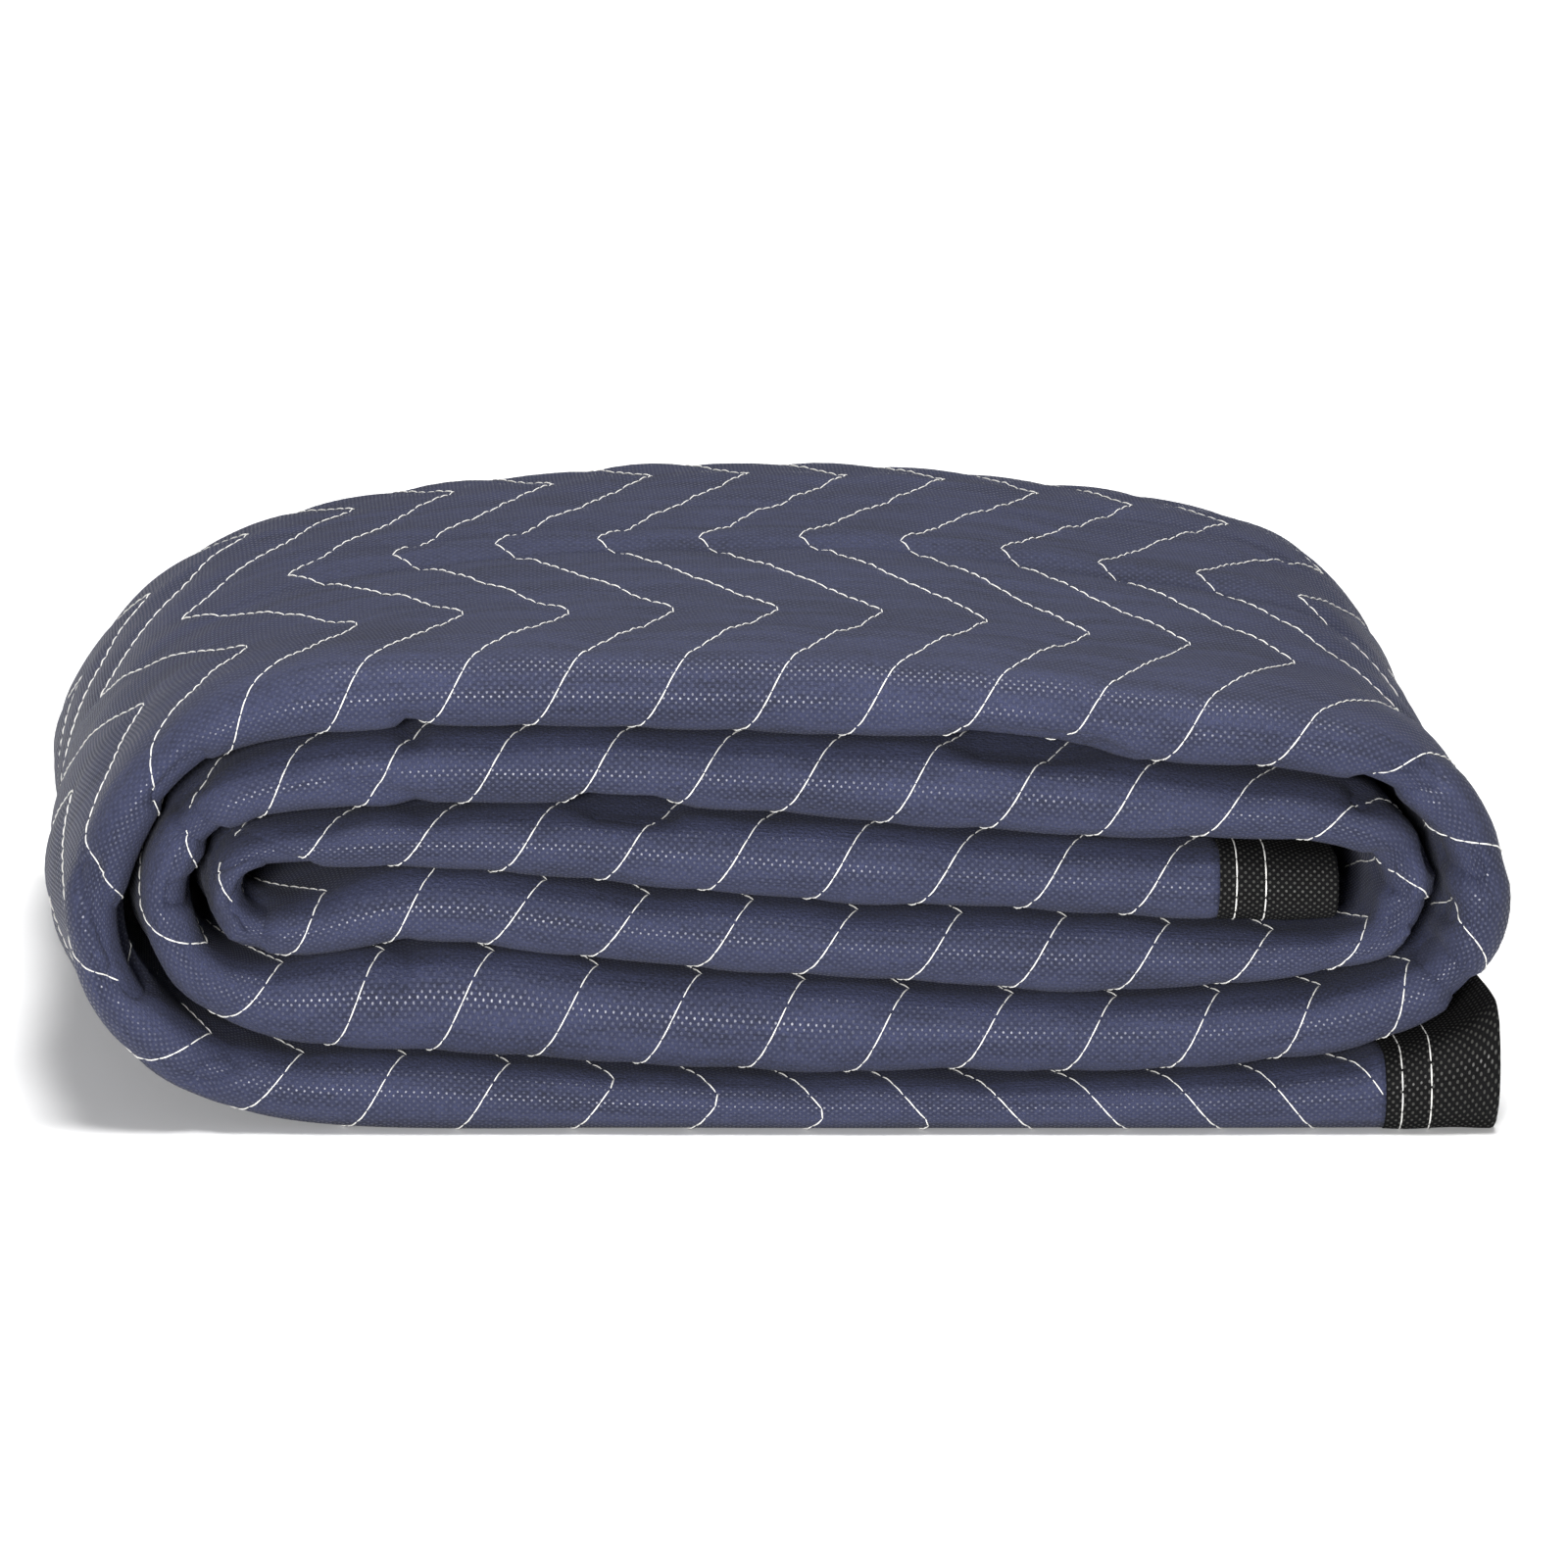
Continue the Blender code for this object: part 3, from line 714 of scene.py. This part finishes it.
def quilting_ends(line):
    """The stitches of one quilting line, on the parts of it that show."""
    sewn = QUILT_START + line * QUILT_PITCH
    wavers = 0.5 * math.sin(line * 2.3)

    def way(down):
        across = down / SLOPE_LENGTH
        swung = float(zigzag(across, sewn))
        return sewn + swung + 0.3 * math.sin(across / 9 + wavers), across

    low = -58.0 if sewn < 1150 else -34.0
    rows = broken_line(low * SLOPE_LENGTH, OUTER_BACK * SLOPE_LENGTH, way)
    kept = []
    for row in rows:
        along, across = row[0], row[1]
        shows = along > 1165 or across < 40
        if shows and PANEL_START + 1 < min(row[0], row[2]) and max(row[0], row[2]) < PANEL_END - 1:
            kept.append(row)
    return kept


ends = []
for line in range(-2, int(LENGTH / QUILT_PITCH) + 3):
    ends.extend(quilting_ends(line))
quilting_stitches = sew("quilting_stitches", ends, on_cloth)

# %% The two rows of stitches on each end binding
BINDING_ROWS = (25.2, 18.0)


def end_rows(from_edge):
    """Stitch rows on both short ends: from_edge turns a distance from the edge into along."""
    rows = []
    for distance in BINDING_ROWS:
        rows.extend(broken_line(-58.0, OUTER_BACK,
                                lambda down: (float(from_edge(distance)), down)))
    return rows


def on_binding(from_edge):
    """The rule that lays stitches on the binding whose edge is a distance away."""
    def lay(along, across, above):
        face = np.ones_like(along)
        places = end_binding_place(from_edge(along), across, face, along)
        places += facing(along, across, face) * (above[:, None] * MILLIMETRE)
        places[:, 2] = np.maximum(places[:, 2], OFF_FLOOR)
        return places

    return lay


inner_end_stitches = sew("inner_end_stitches", end_rows(lambda distance: distance),
                         on_binding(lambda along: along))
outer_end_stitches = sew("outer_end_stitches", end_rows(lambda distance: LENGTH - distance),
                         on_binding(lambda along: LENGTH - along))

# %% [markdown]
# ## Finishes
# The blanket is polypropylene non-woven: matt fibres, pressed with fine smooth dots in a
# staggered grid that glint where the light strikes them, over a fibrous grain that runs along
# the layers. The grid could be an image, but a cell texture without randomness, turned by half
# a right angle, is the same grid at any size. The effects are node groups that read the cloth's
# own UV, which is measured in metres, so they follow every fold.

# %% Helpers for node groups
def new_group(name, inputs, outputs):
    """An empty shader node group with named number or vector inputs and number outputs."""
    group = bpy.data.node_groups.new(name, "ShaderNodeTree")
    for label, kind, value in inputs:
        socket = group.interface.new_socket(label, in_out="INPUT", socket_type=kind)
        if value is not None:
            socket.default_value = value
    for label in outputs:
        group.interface.new_socket(label, in_out="OUTPUT", socket_type="NodeSocketFloat")
    return group, group.nodes.new("NodeGroupInput"), group.nodes.new("NodeGroupOutput")


def maths(tree, operation, *values, clamp=False):
    """A Math node whose inputs are numbers or other nodes' outputs."""
    node = tree.nodes.new("ShaderNodeMath")
    node.operation = operation
    node.use_clamp = clamp
    for socket, value in zip(node.inputs, values):
        if isinstance(value, (int, float)):
            socket.default_value = value
        else:
            tree.links.new(value, socket)
    return node.outputs[0]


def ranged(tree, value, low, high, to_low=0.0, to_high=1.0):
    """A soft step from one number to another."""
    node = tree.nodes.new("ShaderNodeMapRange")
    node.interpolation_type = "SMOOTHSTEP"
    tree.links.new(value, node.inputs["Value"])
    for label, number in (("From Min", low), ("From Max", high), ("To Min", to_low),
                          ("To Max", to_high)):
        node.inputs[label].default_value = number
    return node.outputs["Result"]


def noise(tree, vector, scale, stretch, detail=3.0, roughness=0.6):
    """Noise over the cloth's measures, stretched by its own factor across and along."""
    mapping = tree.nodes.new("ShaderNodeMapping")
    mapping.inputs["Scale"].default_value = stretch
    tree.links.new(vector, mapping.inputs["Vector"])
    texture = tree.nodes.new("ShaderNodeTexNoise")
    texture.inputs["Scale"].default_value = scale
    texture.inputs["Detail"].default_value = detail
    texture.inputs["Roughness"].default_value = roughness
    tree.links.new(mapping.outputs["Vector"], texture.inputs["Vector"])
    return texture.outputs["Fac"]


# %% The pressed dots and the fibres
pressed_dots, dots_in, dots_out = new_group(
    "pressed dots", (("Vector", "NodeSocketVector", None), ("Pitch", "NodeSocketFloat", 0.00142)),
    ("Dot",))
turned = pressed_dots.nodes.new("ShaderNodeMapping")
turned.inputs["Rotation"].default_value = (0, 0, math.radians(45))
turned.inputs["Scale"].default_value = (0.87, 1.0, 1.0)
pressed_dots.links.new(dots_in.outputs["Vector"], turned.inputs["Vector"])
cells = pressed_dots.nodes.new("ShaderNodeTexVoronoi")
cells.inputs["Randomness"].default_value = 0.0
pressed_dots.links.new(turned.outputs["Vector"], cells.inputs["Vector"])
per_metre = maths(pressed_dots, "DIVIDE", 1.0, dots_in.outputs["Pitch"])
pressed_dots.links.new(per_metre, cells.inputs["Scale"])
pressed_dots.links.new(ranged(pressed_dots, cells.outputs["Distance"], 0.31, 0.15),
                       dots_out.inputs["Dot"])

fibres, fibres_in, fibres_out = new_group(
    "non-woven fibres", (("Vector", "NodeSocketVector", None),), ("Grain", "Streaks", "Cloud"))
grain = noise(fibres, fibres_in.outputs["Vector"], 1500.0, (1.0, 0.32, 1.0), 2.0, 0.75)
grain = ranged(fibres, grain, 0.3, 0.7)
streaks = noise(fibres, fibres_in.outputs["Vector"], 150.0, (1.0, 0.16, 1.0), 4.0, 0.6)
streaks = ranged(fibres, streaks, 0.3, 0.7)
cloud = noise(fibres, fibres_in.outputs["Vector"], 22.0, (1.0, 0.5, 1.0), 3.0, 0.55)
fibres.links.new(grain, fibres_out.inputs["Grain"])
fibres.links.new(streaks, fibres_out.inputs["Streaks"])
fibres.links.new(cloud, fibres_out.inputs["Cloud"])
print("finish effects:", pressed_dots.name, "and", fibres.name)


# %% [markdown]
# One recipe serves both non-wovens: the plain colour, a paler one on the dots, and a little
# light and dark from the fibres. The dots are smoother than the fibres, which is what makes them
# glint on the rounded folds and fade on the flat.

# %% Navy and black non-woven
def nonwoven(name, plain, dot, sheen, specular):
    """A matt non-woven cloth with pressed dots."""
    material = bpy.data.materials.new(name)
    material.use_nodes = True
    tree = material.node_tree
    shader = tree.nodes["Principled BSDF"]
    measures = tree.nodes.new("ShaderNodeUVMap")
    measures.uv_map = "cloth"
    dots = tree.nodes.new("ShaderNodeGroup")
    dots.node_tree = pressed_dots
    threads = tree.nodes.new("ShaderNodeGroup")
    threads.node_tree = fibres
    for group in (dots, threads):
        tree.links.new(measures.outputs["UV"], group.inputs["Vector"])
    shade = tree.nodes.new("ShaderNodeMix")
    shade.data_type = "RGBA"
    shade.inputs[6].default_value = (*[c * 0.45 for c in plain], 1)
    shade.inputs[7].default_value = (*[c * 1.55 for c in plain], 1)
    light = maths(tree, "MULTIPLY_ADD", threads.outputs["Streaks"], 0.5,
                  maths(tree, "MULTIPLY_ADD", threads.outputs["Grain"], 0.5, -0.25))
    light = maths(tree, "MULTIPLY_ADD", threads.outputs["Cloud"], 0.5, light, clamp=True)
    tree.links.new(light, shade.inputs[0])
    spotted = tree.nodes.new("ShaderNodeMix")
    spotted.data_type = "RGBA"
    spotted.inputs[7].default_value = (*dot, 1)
    tree.links.new(shade.outputs[2], spotted.inputs[6])
    tree.links.new(dots.outputs["Dot"], spotted.inputs[0])
    tree.links.new(spotted.outputs[2], shader.inputs["Base Color"])
    gloss = maths(tree, "MULTIPLY_ADD", dots.outputs["Dot"], -0.52, 0.84)
    tree.links.new(gloss, shader.inputs["Roughness"])
    shader.inputs["Specular IOR Level"].default_value = specular
    shader.inputs["Sheen Weight"].default_value = sheen
    shader.inputs["Sheen Roughness"].default_value = 0.45
    unpressed = maths(tree, "SUBTRACT", 1.0, dots.outputs["Dot"])
    fibre_height = maths(tree, "MULTIPLY_ADD", threads.outputs["Streaks"], 1.3,
                         threads.outputs["Grain"])
    relief_height = maths(tree, "MULTIPLY_ADD", dots.outputs["Dot"], 0.85,
                          maths(tree, "MULTIPLY", fibre_height, unpressed))
    bump = tree.nodes.new("ShaderNodeBump")
    bump.inputs["Distance"].default_value = 0.00022
    bump.inputs["Strength"].default_value = 0.8
    tree.links.new(relief_height, bump.inputs["Height"])
    tree.links.new(bump.outputs["Normal"], shader.inputs["Normal"])
    material.diffuse_color = (*plain, 1)
    return material


NAVY, NAVY_DOT = (0.0180, 0.0210, 0.0470), (0.034, 0.038, 0.068)
BLACK, BLACK_DOT = (0.0024, 0.0024, 0.0026), (0.034, 0.034, 0.031)
navy_nonwoven = nonwoven("navy_nonwoven", NAVY, NAVY_DOT, 0.03, 0.28)
black_nonwoven = nonwoven("black_nonwoven", BLACK, BLACK_DOT, 0.0, 0.1)

white_thread = bpy.data.materials.new("white_thread")
white_thread.use_nodes = True
thread_tree = white_thread.node_tree
thread_shader = thread_tree.nodes["Principled BSDF"]
place = thread_tree.nodes.new("ShaderNodeTexCoord")
thread_shade = thread_tree.nodes.new("ShaderNodeMix")
thread_shade.data_type = "RGBA"
thread_shade.inputs[6].default_value = (0.46, 0.45, 0.42, 1)
thread_shade.inputs[7].default_value = (0.80, 0.79, 0.76, 1)
thread_tree.links.new(noise(thread_tree, place.outputs["Object"], 900.0, (1, 1, 1)),
                      thread_shade.inputs[0])
thread_tree.links.new(thread_shade.outputs[2], thread_shader.inputs["Base Color"])
thread_shader.inputs["Roughness"].default_value = 0.62
print("finishes: navy and black non-woven, white thread")

# %% [markdown]
# ## Joining the dressed pieces to the frame
# Each cloth piece stands in for its plain solid, and all pieces ride on the part's one body.

# %% Slots and replaced solids
DRESSED = (  # piece, finish, record's slot, the solid it replaces
    (quilted_cloth, navy_nonwoven, "navy_nonwoven", "blanket"),
    (inner_end_binding, black_nonwoven, "black_binding", "binding_inner_end"),
    (outer_end_binding, black_nonwoven, "black_binding", "binding_outer_end"),
    (side_bindings["shown_side_binding"], black_nonwoven, "black_binding",
     "binding_side_outer"),
    (side_bindings["tucked_side_binding"], black_nonwoven, "black_binding",
     "binding_side_inner"),
)
STITCHES = (quilting_stitches, inner_end_stitches, outer_end_stitches)
for piece, finish, slot, node in DRESSED:
    piece.data.materials.append(finish)
    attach(piece, "root")
    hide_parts(node)
for piece in STITCHES:
    piece.data.materials.append(white_thread)
    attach(piece, "root")
print("dressed pieces:", len(DRESSED) + len(STITCHES))

# %% [markdown]
# ## Floor, light and camera
# The pressed dots glint in a band along the middle of every front fold, so the main light stands
# low in front. A wider one overhead lights the flat of the roll, and a third whitens the
# surround behind. The camera stands almost two metres off with a long lens, a
# little above the pile.

# %% The stage
floor_mesh = bpy.data.meshes.new("floor")
floor_shape = bmesh.new()
bmesh.ops.create_grid(floor_shape, x_segments=1, y_segments=1, size=6.0)
floor_shape.to_mesh(floor_mesh)
floor_shape.free()
floor = bpy.data.objects.new("floor", floor_mesh)
bpy.context.scene.collection.objects.link(floor)
floor_paint = bpy.data.materials.new("pale_floor")
floor_paint.use_nodes = True
floor_paint.node_tree.nodes["Principled BSDF"].inputs["Base Color"].default_value = (
    0.92, 0.92, 0.92, 1)
floor_paint.node_tree.nodes["Principled BSDF"].inputs["Roughness"].default_value = 0.9
floor_mesh.materials.append(floor_paint)
floor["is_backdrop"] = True

world = bpy.data.worlds.new("studio")
bpy.context.scene.world = world
world.use_nodes = True
world.node_tree.nodes["Background"].inputs["Color"].default_value = (1.0, 1.0, 1.0, 1)
world.node_tree.nodes["Background"].inputs["Strength"].default_value = 0.2


def softbox(name, place, target, size, power):
    """A square area light that faces a point."""
    data = bpy.data.lights.new(name, "AREA")
    data.size = size
    data.energy = power
    light = bpy.data.objects.new(name, data)
    bpy.context.scene.collection.objects.link(light)
    way = np.array(target) - np.array(place)
    light.location = place
    light.rotation_euler = (
        math.atan2(math.hypot(way[0], way[1]), -way[2]), 0, math.atan2(-way[0], way[1]))
    return light


softbox("key", (-0.3, -2.3, 0.42), (0, 0, 0.06), 0.4, 76)
softbox("top", (0.2, -0.3, 2.2), (0, 0, 0.06), 1.0, 68)
softbox("background", (0, 2.6, 1.5), (0, 3.4, 0), 2.0, 130)

# %% The camera
ELEVATION = math.radians(11.5)
DISTANCE = 1.92
aim = (np.array([0.0, 0.0, 88.8]) - ORIGIN) * MILLIMETRE
camera_data = bpy.data.cameras.new("camera")
camera_data.lens = 180
camera_data.sensor_width = 36
camera_data.clip_end = 50
camera = bpy.data.objects.new("camera", camera_data)
bpy.context.scene.collection.objects.link(camera)
camera.location = (aim[0], aim[1] - DISTANCE * math.cos(ELEVATION),
                   aim[2] + DISTANCE * math.sin(ELEVATION))
camera.rotation_euler = (math.pi / 2 - ELEVATION, 0, 0)
bpy.context.scene.camera = camera
bpy.context.scene.view_settings.view_transform = "Standard"
print("camera", round(DISTANCE, 2), "m off,", round(math.degrees(ELEVATION), 1), "degrees up")

# %% [markdown]
# ## Size and finish
# The dressed pile has to stay in the solid model's box, apart from what cloth may stand proud.

# %% Compare the boxes and finish
low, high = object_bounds()
for label, a, b in zip("xyz", high - low, cad_high - cad_low):
    print(f"{label}: {a * 1000:.1f} mm dressed, {b * 1000:.1f} mm solid")
